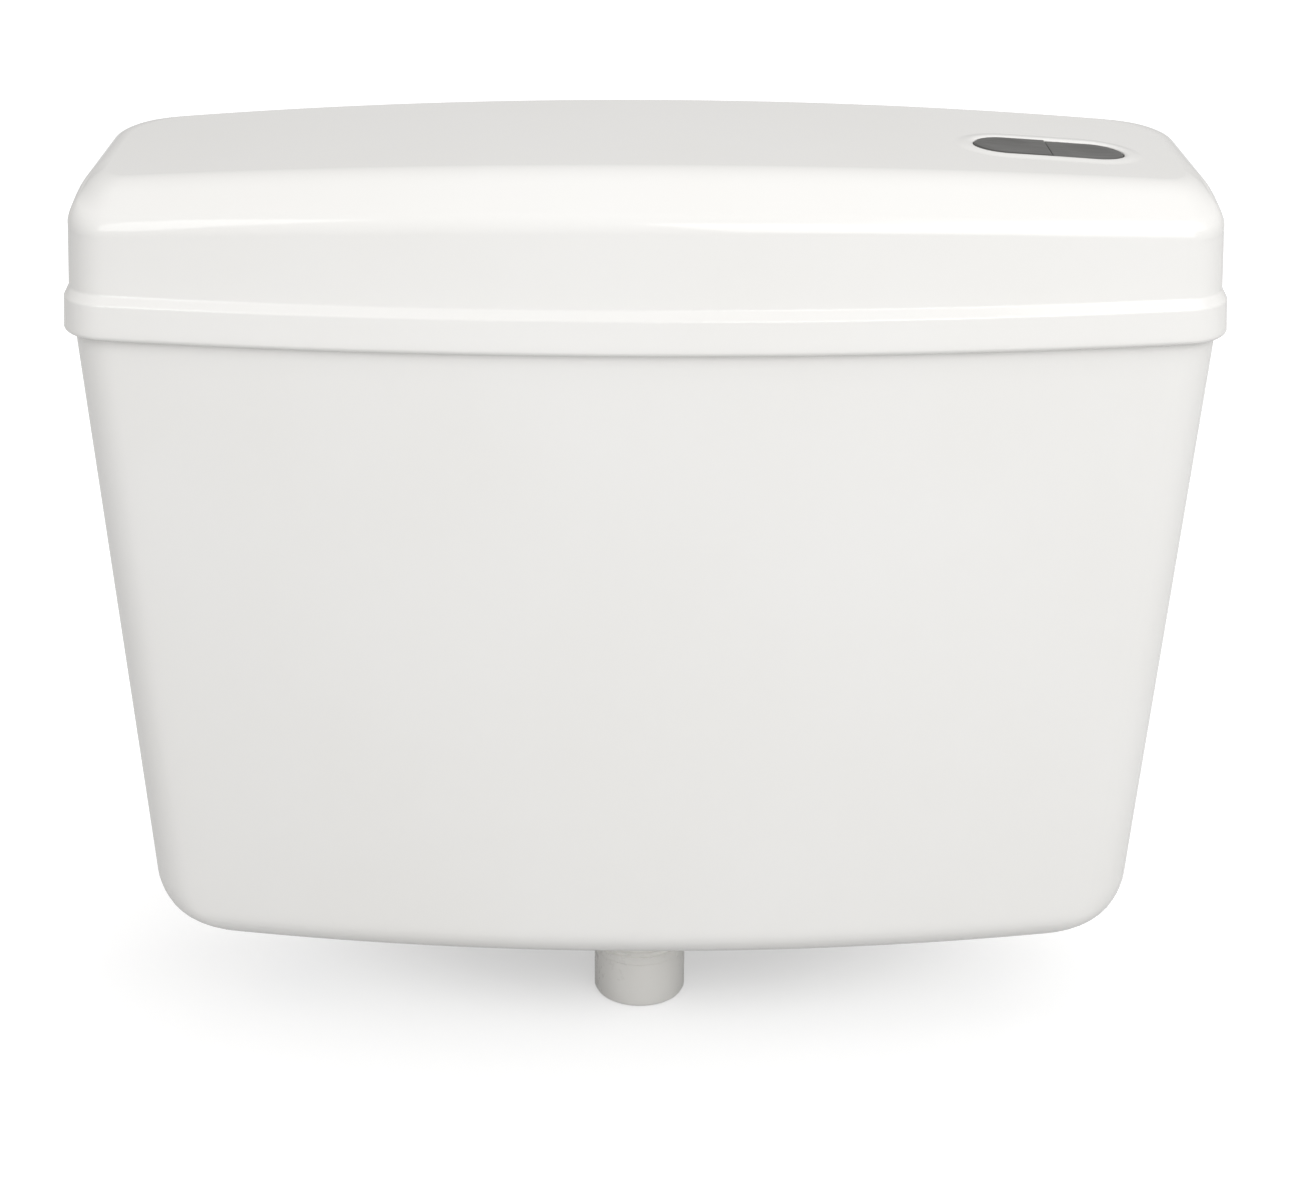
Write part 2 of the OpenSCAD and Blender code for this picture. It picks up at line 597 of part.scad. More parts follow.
// It is thickest through the floor and its back nut, under which the connector's thread starts.
riser_shank = tail_r + 0.4;
inlet_nut_h = 11;
inlet_washer_t = 2;
tail_top = -inlet_washer_t - inlet_nut_h - 1.2;
module fill_riser() {
  column_r = tail_r - 1;
  color(white) translate([fill_x, fill_y, 0]) rotate_extrude() polygon(concat(
    [[6.5, -tail_l], [tail_r - 1, -tail_l], [tail_r, -tail_l + 1]],
    thread(tail_r, 0.9, -tail_l + 2, 1.814, 6),
    [[tail_r, tail_top], [riser_shank, tail_top + 0.5]],
    thread(riser_shank, 0.9, tail_top + 1.4, 1.814, 6),
    [[riser_shank, riser_flange], [riser_r, riser_flange], [riser_r, riser_flange + 3],
     [column_r + 3, riser_flange + 3], [column_r, riser_flange + 9], [column_r, head_z + 8],
     [6.5, head_z + 8]]));
}
module riser_gasket() {
  color(black) flat_ring(fill_y, fill_x, riser_shank + 0.2, riser_r - 0.5, floor_t, riser_flange - floor_t);
}
module inlet_washer() {
  color(black) flat_ring(fill_y, fill_x, riser_shank + 0.2, riser_r - 1, -inlet_washer_t, inlet_washer_t);
}
module inlet_nut() {
  color(white) translate([fill_x, fill_y, -inlet_washer_t - inlet_nut_h]) difference() {
    union() {
      cylinder(r = riser_shank + 5, h = inlet_nut_h, $fn = 6);
      translate([0, 0, inlet_nut_h - 2.5]) cylinder(r = riser_r - 1, h = 2.5);
    }
    translate([0, 0, -1]) cylinder(r = riser_shank + 0.1, h = inlet_nut_h + 2);
  }
}

// A strainer cup in the tail, slotted all round
module inlet_filter() {
  color(blue) translate([fill_x, fill_y, -tail_l]) difference() {
    union() {
      translate([0, 0, -1.2]) cylinder(r = 8, h = 1.2);
      cylinder(r = 5.6, h = 16);
    }
    translate([0, 0, -2]) cylinder(r = 4.4, h = 16.6);
    for (a = [0:45:135]) rotate([0, 0, a]) translate([-10, -0.8, 3]) cube([20, 1.6, 10]);
  }
}

// The valve head on top of the riser, with a side boss for the outflow tube
head_r = tail_r + 4.5;
boss_y = -head_r - 7;
module fill_head() {
  color(white) translate([fill_x, fill_y, head_z]) difference() {
    union() {
      cylinder(r = head_r, h = 24);
      translate([0, boss_y, 0]) cylinder(r = 9, h = 16);
      translate([-7, boss_y, 2]) cube([14, -boss_y, 12]);
    }
    translate([0, 0, 18]) cylinder(r = head_r - 2.5, h = 10);
    translate([0, 0, -1]) cylinder(r = tail_r - 0.95, h = 9);
    translate([0, 0, 5]) cylinder(r = 6.5, h = 15);
    translate([0, boss_y, -1]) cylinder(r = 7, h = 7);
    translate([0, 0, 10]) rotate([90, 0, 0]) cylinder(r = 3, h = -boss_y + 2);
    translate([0, boss_y, 4]) cylinder(r = 4, h = 8);
  }
}
module diaphragm() color(black) translate([fill_x, fill_y, head_z + 18]) cylinder(r = head_r - 2.7, h = 2);

// The cap screwed over the head, with a recess for the pin's foot and two ears for the arm
module head_cap() {
  color(blue) translate([fill_x, fill_y, head_z]) difference() {
    union() {
      translate([0, 0, 17]) cylinder(r = head_r + 2.5, h = 18);
      for (a = [0:30:330]) rotate([0, 0, a]) translate([head_r + 1.5, -1.2, 17]) cube([2, 2.4, 15]);
      for (s = [-1, 1]) translate([10, s * 9, 0]) {
        translate([0, 1.75, ear_up]) rotate([90, 0, 0]) cylinder(r = 4, h = 3.5);
        translate([-4, -1.75, 34]) cube([8, 3.5, ear_up - 34]);
      }
    }
    translate([0, 0, 16]) cylinder(r = head_r + 0.05, h = 8);
    translate([0, 0, 23]) cylinder(r = 10, h = 5);
    translate([0, 0, 27]) cylinder(r = 2.3, h = 20);
    translate([10, 20, ear_up]) rotate([90, 0, 0]) cylinder(r = 1.8, h = 40);
  }
}

// Height of the arm's nose over its pivot while the float hangs
nose_x = -10;
nose_drop = 1;
nose_r = 3;
nose_rest = -nose_x * sin(float_drop) - nose_drop * cos(float_drop) - nose_r;
module valve_pin() {
  top = arm_z + nose_rest - 0.35;
  color(steel) translate([fill_x, fill_y, 0]) rotate_extrude() polygon([
    [0, head_z + 25.4], [5, head_z + 25.4], [5, head_z + 27], [2, head_z + 27],
    [2, top - 1], [1.2, top], [0, top]]);
}
module arm_pin() {
  color(steel) translate([arm_x, fill_y + 12, arm_z]) rotate([90, 0, 0]) {
    cylinder(r = 1.8, h = 24);
    translate([0, 0, -1]) cylinder(r = 2.8, h = 1);
  }
}

// The float arm and what it carries, drawn shut and then let down about the arm pin
float_x = 60;
module hang() translate([arm_x, fill_y, arm_z]) rotate([0, float_drop, 0]) children();
module float_arm() {
  color(blue) hang() difference() {
    union() {
      translate([0, 6.5, 0]) rotate([90, 0, 0]) cylinder(r = 4, h = 13);
      translate([nose_x, -4, -nose_drop - 2]) cube([float_x - nose_x, 8, 5]);
      translate([nose_x, 4, -nose_drop]) rotate([90, 0, 0]) cylinder(r = nose_r, h = 8);
      translate([float_x, 0, -nose_drop - 2]) cylinder(r = 7, h = 5);
    }
    translate([0, 20, 0]) rotate([90, 0, 0]) cylinder(r = 1.85, h = 40);
    translate([float_x, 0, -10]) cylinder(r = 2.5, h = 20);
  }
}
module float_screw() {
  color(white) hang() translate([float_x, 0, 0]) {
    translate([0, 0, -14]) cylinder(r = 2.5, h = 24);
    translate([0, 0, 8]) cylinder(r = 5, h = 4, $fn = 8);
  }
}
module float_cup() {
  color(white) hang() translate([float_x, 0, -40]) difference() {
    rotate_extrude() polygon([
      [0, 0], [float_r - 3, 0], [float_r, 3], [float_r, 32], [float_r - 2, 34], [0, 34]]);
    translate([0, 0, 26]) cylinder(r = 2.5, h = 20);
  }
}

module outflow_tube() {
  color(white) flat_ring(fill_y + boss_y, fill_x, 5.6, 7, 16, head_z - 11);
}

module place() translate([0, 0, -fix_z]) children();

place() tank();
place() lid();
place() key_guide();
place() full_flush_key();
place() half_flush_key();
place() full_push_rod();
place() half_push_rod();
place() full_key_spring();
place() half_key_spring();
place() lever_bridge();
place() lever_pin();
place() full_lever();
place() half_lever();
place() valve_base();
place() base_gasket();
place() outlet_washer();
place() outlet_nut();
place() valve_tower();
place() lift_sleeve();
place() overflow_tube();
place() lift_collar();
place() flush_seal();
place() seal_retainer();
place() control_float();
place() fill_riser();
place() riser_gasket();
place() inlet_washer();
place() inlet_nut();
place() inlet_filter();
place() fill_head();
place() diaphragm();
place() head_cap();
place() valve_pin();
place() arm_pin();
place() float_arm();
place() float_screw();
place() float_cup();
place() outflow_tube();
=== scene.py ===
import json
from math import atan, cos, pi, radians, sin, sqrt, tan

import bmesh
import bpy
from mathutils import Euler, Matrix, Vector


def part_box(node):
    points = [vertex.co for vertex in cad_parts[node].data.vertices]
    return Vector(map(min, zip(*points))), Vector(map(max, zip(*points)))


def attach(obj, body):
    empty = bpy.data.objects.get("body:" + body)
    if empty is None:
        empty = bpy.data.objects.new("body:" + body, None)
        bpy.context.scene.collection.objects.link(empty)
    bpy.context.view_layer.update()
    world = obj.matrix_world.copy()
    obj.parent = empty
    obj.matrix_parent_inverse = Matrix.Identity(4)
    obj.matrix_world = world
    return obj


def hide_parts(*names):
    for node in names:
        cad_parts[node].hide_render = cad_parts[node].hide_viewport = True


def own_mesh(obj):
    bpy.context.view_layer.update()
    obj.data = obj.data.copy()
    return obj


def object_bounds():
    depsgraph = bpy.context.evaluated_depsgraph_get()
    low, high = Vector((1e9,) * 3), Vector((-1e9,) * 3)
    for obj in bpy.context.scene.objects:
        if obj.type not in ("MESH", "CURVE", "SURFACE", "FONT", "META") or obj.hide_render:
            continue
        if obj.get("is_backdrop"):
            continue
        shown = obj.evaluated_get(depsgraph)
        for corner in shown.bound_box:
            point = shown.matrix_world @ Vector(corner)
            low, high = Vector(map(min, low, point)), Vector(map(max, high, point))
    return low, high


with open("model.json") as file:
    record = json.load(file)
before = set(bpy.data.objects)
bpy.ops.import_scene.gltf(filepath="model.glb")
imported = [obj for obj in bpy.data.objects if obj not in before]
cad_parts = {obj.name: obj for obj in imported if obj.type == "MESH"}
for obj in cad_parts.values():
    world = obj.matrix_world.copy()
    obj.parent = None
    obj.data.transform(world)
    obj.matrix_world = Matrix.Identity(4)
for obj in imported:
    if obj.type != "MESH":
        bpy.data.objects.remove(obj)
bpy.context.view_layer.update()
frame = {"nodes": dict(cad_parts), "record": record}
scene = bpy.context.scene
scene.view_settings.view_transform = "Standard"

# The viewpoint: a short telephoto a metre in front of the cistern and a little above it,
# looking down on the lid. The shift keeps the object where the picture frames it.
camera = bpy.data.objects.new("camera", bpy.data.cameras.new("camera"))
scene.collection.objects.link(camera)
camera.data.sensor_fit = "HORIZONTAL"
camera.data.sensor_width = 36.0
camera.data.lens = 73.28
camera.data.shift_x = 0.0292
camera.data.shift_y = -0.0083
look_down = radians(22.806)
look_right = radians(0.043)
head_tilt = radians(0.202)
turn = Euler((pi / 2 - look_down, 0, -look_right)).to_matrix() @ Matrix.Rotation(head_tilt, 3, "Z")
camera.matrix_world = Matrix.LocRotScale(Vector((-0.0111, -1.1067, 0.3301)), turn, None)
scene.camera = camera

# The stage: a seamless white floor that the outlet's end stands on, and a white surround.
# The floor is matt, and its own glow to the eye makes it white outside the shadow and fades under
# the tank; a further dip in that glow under the tank is painted shadow that darkens the floor below the
# tank's edge. Five large softboxes light the cistern, and two of them stay out of its reflections.
floor_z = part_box("valve_base")[0].z
bm = bmesh.new()
bmesh.ops.create_grid(bm, x_segments=8, y_segments=8, size=6.0)
bmesh.ops.translate(bm, verts=bm.verts, vec=(0, 0, floor_z - 0.0005))
floor = bpy.data.objects.new("floor", bpy.data.meshes.new("floor"))
bm.to_mesh(floor.data)
bm.free()
scene.collection.objects.link(floor)
floor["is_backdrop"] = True


def reckon(tree, operation, a, b):
    """A socket with the outcome of a sum on two others, of which the second may be a number."""
    node = tree.nodes.new("ShaderNodeMath")
    node.operation = operation
    tree.links.new(a, node.inputs[0])
    if isinstance(b, float):
        node.inputs[1].default_value = b
    else:
        tree.links.new(b, node.inputs[1])
    return node.outputs[0]


def seen_directly(tree, in_gloss):
    """A socket that is 1 on rays from the eye or through glass, in_gloss on reflected ones, and else 0."""
    path = tree.nodes.new("ShaderNodeLightPath").outputs
    mirrored = reckon(tree, "MULTIPLY", path["Is Glossy Ray"], in_gloss)
    first = reckon(tree, "MAXIMUM", path["Is Camera Ray"], mirrored)
    return reckon(tree, "MAXIMUM", first, path["Is Transmission Ray"])


def floor_fade(tree, middle, reach, span, values):
    """A socket that eases between two values over a span of distances from a place on the floor.
    The distances are counted in the reach along X and along Y."""
    centred = tree.nodes.new("ShaderNodeMapping")
    centred.vector_type = "TEXTURE"
    centred.inputs["Location"].default_value = (*middle, floor_z)
    centred.inputs["Scale"].default_value = (*reach, 1)
    tree.links.new(tree.nodes.new("ShaderNodeTexCoord").outputs["Object"], centred.inputs["Vector"])
    away = tree.nodes.new("ShaderNodeVectorMath")
    away.operation = "LENGTH"
    tree.links.new(centred.outputs["Vector"], away.inputs[0])
    fade = tree.nodes.new("ShaderNodeMapRange")
    fade.interpolation_type = "SMOOTHSTEP"
    fade.inputs["From Min"].default_value, fade.inputs["From Max"].default_value = span
    fade.inputs["To Min"].default_value, fade.inputs["To Max"].default_value = values
    tree.links.new(away.outputs["Value"], fade.inputs["Value"])
    return fade.outputs["Result"]


floor_paint = bpy.data.materials.new("floor_paint")
floor_paint.use_nodes = True
tree = floor_paint.node_tree
tree.nodes.clear()
matt = tree.nodes.new("ShaderNodeBsdfDiffuse")
matt.inputs["Color"].default_value = (0.5, 0.5, 0.5, 1)
around_tank = floor_fade(tree, (0, -0.09), (0.34, 0.17), (0.6, 1.6), (0.60, 0.82))
# Painted shadow: the floor's glow is taken down under the tank to darken the floor below its edge.
painted_shadow_under_tank = floor_fade(tree, (0, -0.02), (0.19, 0.10), (0.3, 0.9), (0.2, 0.0))
glow_less_painted_shadow = reckon(tree, "SUBTRACT", around_tank, painted_shadow_under_tank)
glow = tree.nodes.new("ShaderNodeEmission")
glow.inputs["Color"].default_value = (1, 1, 1, 1)
tree.links.new(reckon(tree, "MULTIPLY", seen_directly(tree, 0.4), glow_less_painted_shadow), glow.inputs["Strength"])
both = tree.nodes.new("ShaderNodeAddShader")
tree.links.new(matt.outputs[0], both.inputs[0])
tree.links.new(glow.outputs[0], both.inputs[1])
out = tree.nodes.new("ShaderNodeOutputMaterial")
tree.links.new(both.outputs[0], out.inputs["Surface"])
floor.data.materials.append(floor_paint)

world = bpy.data.worlds.new("studio")
scene.world = world
world.use_nodes = True
tree = world.node_tree
tree.nodes.clear()
white = tree.nodes.new("ShaderNodeBackground")
white.inputs["Color"].default_value = (1, 1, 1, 1)
soft = tree.nodes.new("ShaderNodeBackground")
soft.inputs["Color"].default_value = (1, 0.99, 0.98, 1)
soft.inputs["Strength"].default_value = 0.535
pick = tree.nodes.new("ShaderNodeMixShader")
tree.links.new(seen_directly(tree, 0.0), pick.inputs[0])
tree.links.new(soft.outputs[0], pick.inputs[1])
tree.links.new(white.outputs[0], pick.inputs[2])
out = tree.nodes.new("ShaderNodeOutputWorld")
tree.links.new(pick.outputs[0], out.inputs["Surface"])


def softbox(name, at, width, height, power, mirrored=True):
    """A rectangular studio lamp that faces the cistern, and may be kept out of its reflections."""
    lamp = bpy.data.lights.new(name, "AREA")
    lamp.shape = "RECTANGLE"
    lamp.size = width
    lamp.size_y = height
    lamp.energy = power
    box = bpy.data.objects.new(name, lamp)
    scene.collection.objects.link(box)
    box.visible_glossy = mirrored
    lit_point = Vector((0, -0.07, 0.02))
    aim = lit_point - Vector(at)
    box.matrix_world = Matrix.Translation(at) @ aim.to_track_quat("-Z", "Y").to_matrix().to_4x4()


softbox("key_lamp", (0.90, -1.91, 1.06), 1.7, 1.55, 20.5)
softbox("right_lamp", (1.40, -0.95, 1.62), 1.7, 1.5, 9.9)
softbox("left_lamp", (-1.13, -1.39, 1.37), 0.55, 1.6, 6.4)
softbox("rear_lamp", (0.17, 0.92, 2.09), 1.6, 1.0, 7.6, mirrored=False)
softbox("front_lamp", (-0.35, -2.57, 0.65), 2.0, 1.0, 5.6, mirrored=False)

# The tank: one thin shell of white plastic, open at the top, narrowing to a rounded foot.
# Its front bows out, and its flat back joggles in behind the lid's skirt. Bosses take the wall
# screws, two ledges with pegs carry the lever bridge, and two holes in the floor take the tails.
tank_low, tank_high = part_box("tank")
lid_low, lid_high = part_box("lid")
lip_h = lid_low.z - tank_low.z
wall = 0.003
floor_t = 0.0035
front_bow = 0.0207
foot_bow = 0.0013
side_taper = 0.0175
front_taper = 0.005
foot_r = 0.0255
toe_r = 0.013
heel_r = 0.008
corner_r = 0.020
back_corner_r = 0.010
back_step = wall + 0.001
lip_gap = 0.002
joggle_low = lip_h - 0.012
joggle_rise = 0.010
front_cuts = 44
corner_cuts = 10
side_cuts = 7


def lerp(a, b, t):
    """The value a share t of the way from a to b."""
    return a + (b - a) * t


def body_plan(half, front, bow, back, front_r, back_r):
    """Points of the body's plan as (x, y, s): the front from left to right, then the back from right
    to left, with half of each side on either row. The share s runs from 0 on the front through 1 on the
    sides to 2 on the back."""
    slope = 0.0
    for _ in range(3):
        tangent_x = half - front_r + front_r * sin(slope)
        slope = atan(2 * bow * tangent_x / half**2)
    centre_y = front + bow * (tangent_x / half) ** 2 + front_r * cos(slope)
    quarter = []
    for i in range(corner_cuts + 1):
        t = i / corner_cuts
        a = lerp(slope - pi / 2, 0, t)
        quarter.append((half - front_r + front_r * cos(a), centre_y + front_r * sin(a), t))
    steps = 2 * side_cuts + 1
    side = [(half, lerp(centre_y, back - back_r, i / steps), 1.0) for i in range(1, steps)]
    quarter += side[:side_cuts]
    row = [(-x, y, s) for x, y, s in reversed(quarter)]
    for i in range(1, front_cuts):
        x = lerp(-tangent_x, tangent_x, i / front_cuts)
        row.append((x, front + bow * (x / half) ** 2, 0.0))
    row += quarter
    back_quarter = []
    for i in range(corner_cuts + 1):
        t = i / corner_cuts
        a = pi / 2 * (1 - t)
        back_quarter.append((half - back_r + back_r * cos(a), back - back_r + back_r * sin(a), 2 - t))
    back_quarter += side[:side_cuts - 1:-1]
    back_row = [(-x, y, s) for x, y, s in reversed(back_quarter)]
    for i in range(1, front_cuts):
        back_row.append((lerp(-1, 1, i / front_cuts) * (half - back_r), back, 2.0))
    back_row += back_quarter
    return row + back_row[::-1]


def loft(bm, rings):
    """Wraps a grid of quads through closed rings of points, a row of the grid to each ring."""
    around = len(rings[0])
    up = len(rings) - 1
    grid = bmesh.ops.create_grid(bm, x_segments=around, y_segments=up, size=0.5)["verts"]
    for v in grid:
        i = round((v.co.x + 0.5) * around) % around
        j = round((v.co.y + 0.5) * up)
        v.co = rings[j][i]
    bmesh.ops.remove_doubles(bm, verts=grid, dist=1e-6)


def closing_rings(ring, steps, height):
    """Rings that draw a ring's front and back together to a line, at the height given over each x."""
    n = len(ring)
    rings = []
    for k in range(1, steps + 1):
        drawn = []
        for i, p in enumerate(ring):
            q = p.lerp((p + ring[n - 1 - i]) / 2, k / steps)
            drawn.append(Vector((q.x, q.y, height(q.x))))
        rings.append(drawn)
    return rings


def round_in(r, h):
    """How far a rounded edge of radius r lies inside its wall, h above the flat that it turns into."""
    return r - sqrt(r * r - (r - h) ** 2) if h < r else 0.0


def tank_ring(h, t, base):
    """The tank's outline h above its underside, moved in by the wall t."""
    lean = max(0.0, 1 - h / (lip_h - lip_gap))
    half = tank_high.x - side_taper * lean - t
    side_in = round_in(foot_r - t, h - base)
    bow = (front_bow + foot_bow * lean) * ((half - side_in) / half) ** 2
    front = tank_low.y + front_taper * lean + t + round_in(toe_r - t, h - base)
    step = min(1.0, max(0.0, (h - joggle_low) / joggle_rise))
    back = -back_step * step * step * (3 - 2 * step) - t - round_in(heel_r - t, h - base)
    plan = body_plan(half - side_in, front, bow, back, corner_r - t, back_corner_r - t)
    return [Vector((x, y, tank_low.z + h)) for x, y, s in plan]


def mesh_piece(name, bm, material, sharp=radians(32)):
    """A new piece from a bmesh: normals turned outwards, edges past the sharp angle kept crisp."""
    bmesh.ops.recalc_face_normals(bm, faces=bm.faces)
    for f in bm.faces:
        f.smooth = True
    for e in bm.edges:
        e.smooth = not e.is_manifold or e.calc_face_angle() < sharp
    mesh = bpy.data.meshes.new(name)
    bm.to_mesh(mesh)
    bm.free()
    piece = bpy.data.objects.new(name, mesh)
    scene.collection.objects.link(piece)
    mesh.materials.append(material)
    return piece


def cut_or_join(bm, tool, operation):
    """Cuts a bmesh by another, or joins the two into one skin, with an exact boolean."""
    pair = []
    for shape in (bm, tool):
        bmesh.ops.recalc_face_normals(shape, faces=shape.faces)
        holder = bpy.data.objects.new("shape", bpy.data.meshes.new("shape"))
        shape.to_mesh(holder.data)
        shape.free()
        scene.collection.objects.link(holder)
        pair.append(holder)
    work = pair[0].modifiers.new("work", "BOOLEAN")
    work.operation = operation
    work.solver = "EXACT"
    work.use_self = True
    work.object = pair[1]
    done = pair[0].evaluated_get(bpy.context.evaluated_depsgraph_get())
    result = bmesh.new()
    result.from_mesh(done.to_mesh())
    done.to_mesh_clear()
    for holder in pair:
        mesh = holder.data
        bpy.data.objects.remove(holder)
        bpy.data.meshes.remove(mesh)
    return result


def cylinder(bm, at, axis, radius, length, segments=96):
    """A capped cylinder from a point along an axis."""
    axis = Vector(axis).normalized()
    turn = axis.to_track_quat("Z", "Y").to_matrix().to_4x4()
    place = Matrix.Translation(Vector(at) + axis * length / 2) @ turn
    bmesh.ops.create_cone(
        bm, cap_ends=True, segments=segments, radius1=radius, radius2=radius, depth=length, matrix=place)


def block(bm, low, high):
    """A box between two corners."""
    low, high = Vector(low), Vector(high)
    size = high - low
    place = Matrix.Translation((low + high) / 2) @ Matrix.Diagonal((size.x, size.y, size.z, 1))
    bmesh.ops.create_cube(bm, size=1.0, matrix=place)


def noise(tree, scale, detail, rough, coords):
    """A noise socket on the piece's own coordinates, with its scale in bumps a metre."""
    n = tree.nodes.new("ShaderNodeTexNoise")
    n.inputs["Scale"].default_value = scale
    n.inputs["Detail"].default_value = detail
    n.inputs["Roughness"].default_value = rough
    tree.links.new(coords, n.inputs["Vector"])
    return n.outputs["Fac"]


def spread(tree, fac, low, high):
    """A noise socket stretched to run from one value to another."""
    m = tree.nodes.new("ShaderNodeMapRange")
    m.inputs["From Min"].default_value = 0.3
    m.inputs["From Max"].default_value = 0.7
    m.inputs["To Min"].default_value = low
    m.inputs["To Max"].default_value = high
    tree.links.new(fac, m.inputs["Value"])
    return m.outputs["Result"]


def moulded_plastic(name, light, dark, gloss, peel, peel_scale=900.0):
    """Injection-moulded plastic: a faint cloudiness of tone, patches of duller skin where hands and
    cloths have rubbed, hairline scuffs in the gloss and the fine orange peel of the mould."""
    material = bpy.data.materials.new(name)
    material.use_nodes = True
    tree = material.node_tree
    skin = tree.nodes["Principled BSDF"]
    coords = tree.nodes.new("ShaderNodeTexCoord").outputs["Object"]
    tone = tree.nodes.new("ShaderNodeMix")
    tone.data_type = "RGBA"
    tone.inputs["A"].default_value = (*light, 1)
    tone.inputs["B"].default_value = (*dark, 1)
    tree.links.new(spread(tree, noise(tree, 9.0, 3.0, 0.5, coords), 0.0, 1.0), tone.inputs["Factor"])
    tree.links.new(tone.outputs["Result"], skin.inputs["Base Color"])
    stretch = tree.nodes.new("ShaderNodeMapping")
    stretch.inputs["Rotation"].default_value = (0.3, 0.5, 0.4)
    stretch.inputs["Scale"].default_value = (1.0, 14.0, 5.0)
    tree.links.new(coords, stretch.inputs["Vector"])
    hairs = noise(tree, 60.0, 6.0, 0.62, stretch.outputs["Vector"])
    scuff = spread(tree, hairs, gloss * 0.86, gloss * 1.16)
    patch = spread(tree, noise(tree, 14.0, 2.0, 0.5, coords), -0.03, 0.03)
    tree.links.new(reckon(tree, "ADD", scuff, patch), skin.inputs["Roughness"])
    bump = tree.nodes.new("ShaderNodeBump")
    bump.inputs["Strength"].default_value = 1.0
    bump.inputs["Distance"].default_value = peel
    tree.links.new(noise(tree, peel_scale, 2.0, 0.5, coords), bump.inputs["Height"])
    tree.links.new(bump.outputs["Normal"], skin.inputs["Normal"])
    skin.inputs["IOR"].default_value = 1.5
    return material


gloss_white = moulded_plastic("gloss_white", (0.845, 0.84, 0.825), (0.83, 0.823, 0.803), 0.085, 0.0000012)

foot_turns = 14
foot = [1 - cos(pi / 2 * i / foot_turns) for i in range(foot_turns + 1)]
tank_top_h = tank_high.z - tank_low.z
upright = [lerp(foot_r, joggle_low, i / 8) for i in range(1, 9)]
joggle = [joggle_low + joggle_rise * i / 6 for i in range(1, 7)]
edge_r = 0.001
outside = [tank_ring(foot_r * q, 0.0, 0.0) for q in foot]
outside += [tank_ring(h, 0.0, 0.0) for h in upright + joggle + [tank_top_h - edge_r]]
rolled = [(tank_top_h - edge_r * (1 - sin(a)), edge_r * (1 - cos(a))) for a in (0.4, 0.8, 1.2, pi / 2)]
over = [tank_ring(h, run, 0.0) for h, run in rolled]
over += [tank_ring(h, wall - run, 0.0) for h, run in reversed(rolled)]
inner_foot_r = foot_r - wall
inside = [tank_ring(h, wall, floor_t) for h in reversed(upright + joggle + [tank_top_h - edge_r])]
inside += [tank_ring(floor_t + inner_foot_r * q, wall, floor_t) for q in reversed(foot)]
rings = closing_rings(outside[0], 3, lambda x: tank_low.z)[::-1] + outside + over + inside
rings += closing_rings(inside[-1], 3, lambda x: tank_low.z + floor_t)
bm = bmesh.new()
loft(bm, rings)

fixing = next(m for m in frame["record"]["mounts"] if m["name"] == "wall_fixings")
fixing_x = fixing["dims"]["spacing_x_mm"] / 2000
fixing_r = fixing["dims"]["hole_r_mm"] / 1000
boss_r = 0.013
boss_t = 0.003
bosses = bmesh.new()
for x in (-fixing_x, fixing_x):
    cylinder(bosses, (x, -wall / 2, 0), (0, -1, 0), boss_r, wall / 2 + boss_t)
bridge_low, bridge_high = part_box("lever_bridge")
ledge_z = bridge_low.z + 0.006
bridge_x = (bridge_low.x + bridge_high.x) / 2
bridge_half = (bridge_high.x - bridge_low.x) / 2
ledge_l = 0.011
ledge_h = 0.008
ledge_front = bridge_low.y - wall - 0.0006
peg_r = 0.0026
peg_h = 0.009
peg_sunk = 0.001
peg_back = -wall - 0.006
peg_front = bridge_low.y + 0.005
for back, front in ((-wall / 2, -wall - ledge_l), (ledge_front + wall + ledge_l, ledge_front)):
    block(bosses, (bridge_x - bridge_half, front, ledge_z - ledge_h),
          (bridge_x + bridge_half, back, ledge_z))
for y in (peg_back, peg_front):
    cylinder(bosses, (bridge_x, y, ledge_z - peg_sunk), (0, 0, 1), peg_r, peg_h, 32)
bm = cut_or_join(bm, bosses, "UNION")
holes = bmesh.new()
drill_back = 0.001
drill_l = 0.02
for x in (-fixing_x, fixing_x):
    cylinder(holes, (x, drill_back, 0), (0, -1, 0), fixing_r, drill_l, 48)
hole_spare = 0.0003
hole_below = 0.005
hole_l = 0.012
for node in ("base_gasket", "riser_gasket"):
    ring_low, ring_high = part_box(node)
    middle = (ring_low.xy + ring_high.xy) / 2
    bore = min((v.co.xy - middle).length for v in frame["nodes"][node].data.vertices)
    cylinder(holes, (*middle, tank_low.z - hole_below), (0, 0, 1), bore + hole_spare, hole_l)
bm = cut_or_join(bm, holes, "DIFFERENCE")
rides_on = {node: body for body, group in frame["record"]["behaviour"]["bodies"].items() for node in group}


def stands_for(piece, node):
    """Puts a piece in a CAD node's place: on the node's body, with the node hidden."""
    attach(piece, rides_on[node])
    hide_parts(node)


stands_for(mesh_piece("tank_shell", bm, gloss_white), "tank")

# The lid: a loose cover moulded in the same plastic, with a rim band that laps over the tank.
# Its top is crowned along its length, and the front rolls down over a shallow bevel. A raised collar
# rings the key opening, with four pegs for the key guide, and four ribs stiffen the top from below.
rim_h = 0.0165
rim_out = 0.0023
front_out = 0.0041
crown = 0.0081
crown_at = 0.200
bevel_slope = radians(33.5)
shoulder = 0.0202
wall_follow = 0.75
side_r = 0.0118
back_r = 0.004
roll_low = 0.010
roll_high = 0.024
lid_draft = 0.00115
bevel_turn = pi / 2 - bevel_slope
crown_z = lid_high.z
top_corner_r = 0.008
top_corner_growth = 0.0026
front_corner_loss = 0.001
corner_lead = 0.024
corner_blend = 0.048


def crown_drop(x):
    """How far the crowned top has come down, x along the lid from its middle."""
    return crown * (x / crown_at) ** 2


def ease(t):
    """A share from 0 to 1, made to start and end softly."""
    return t * t * (3 - 2 * t)


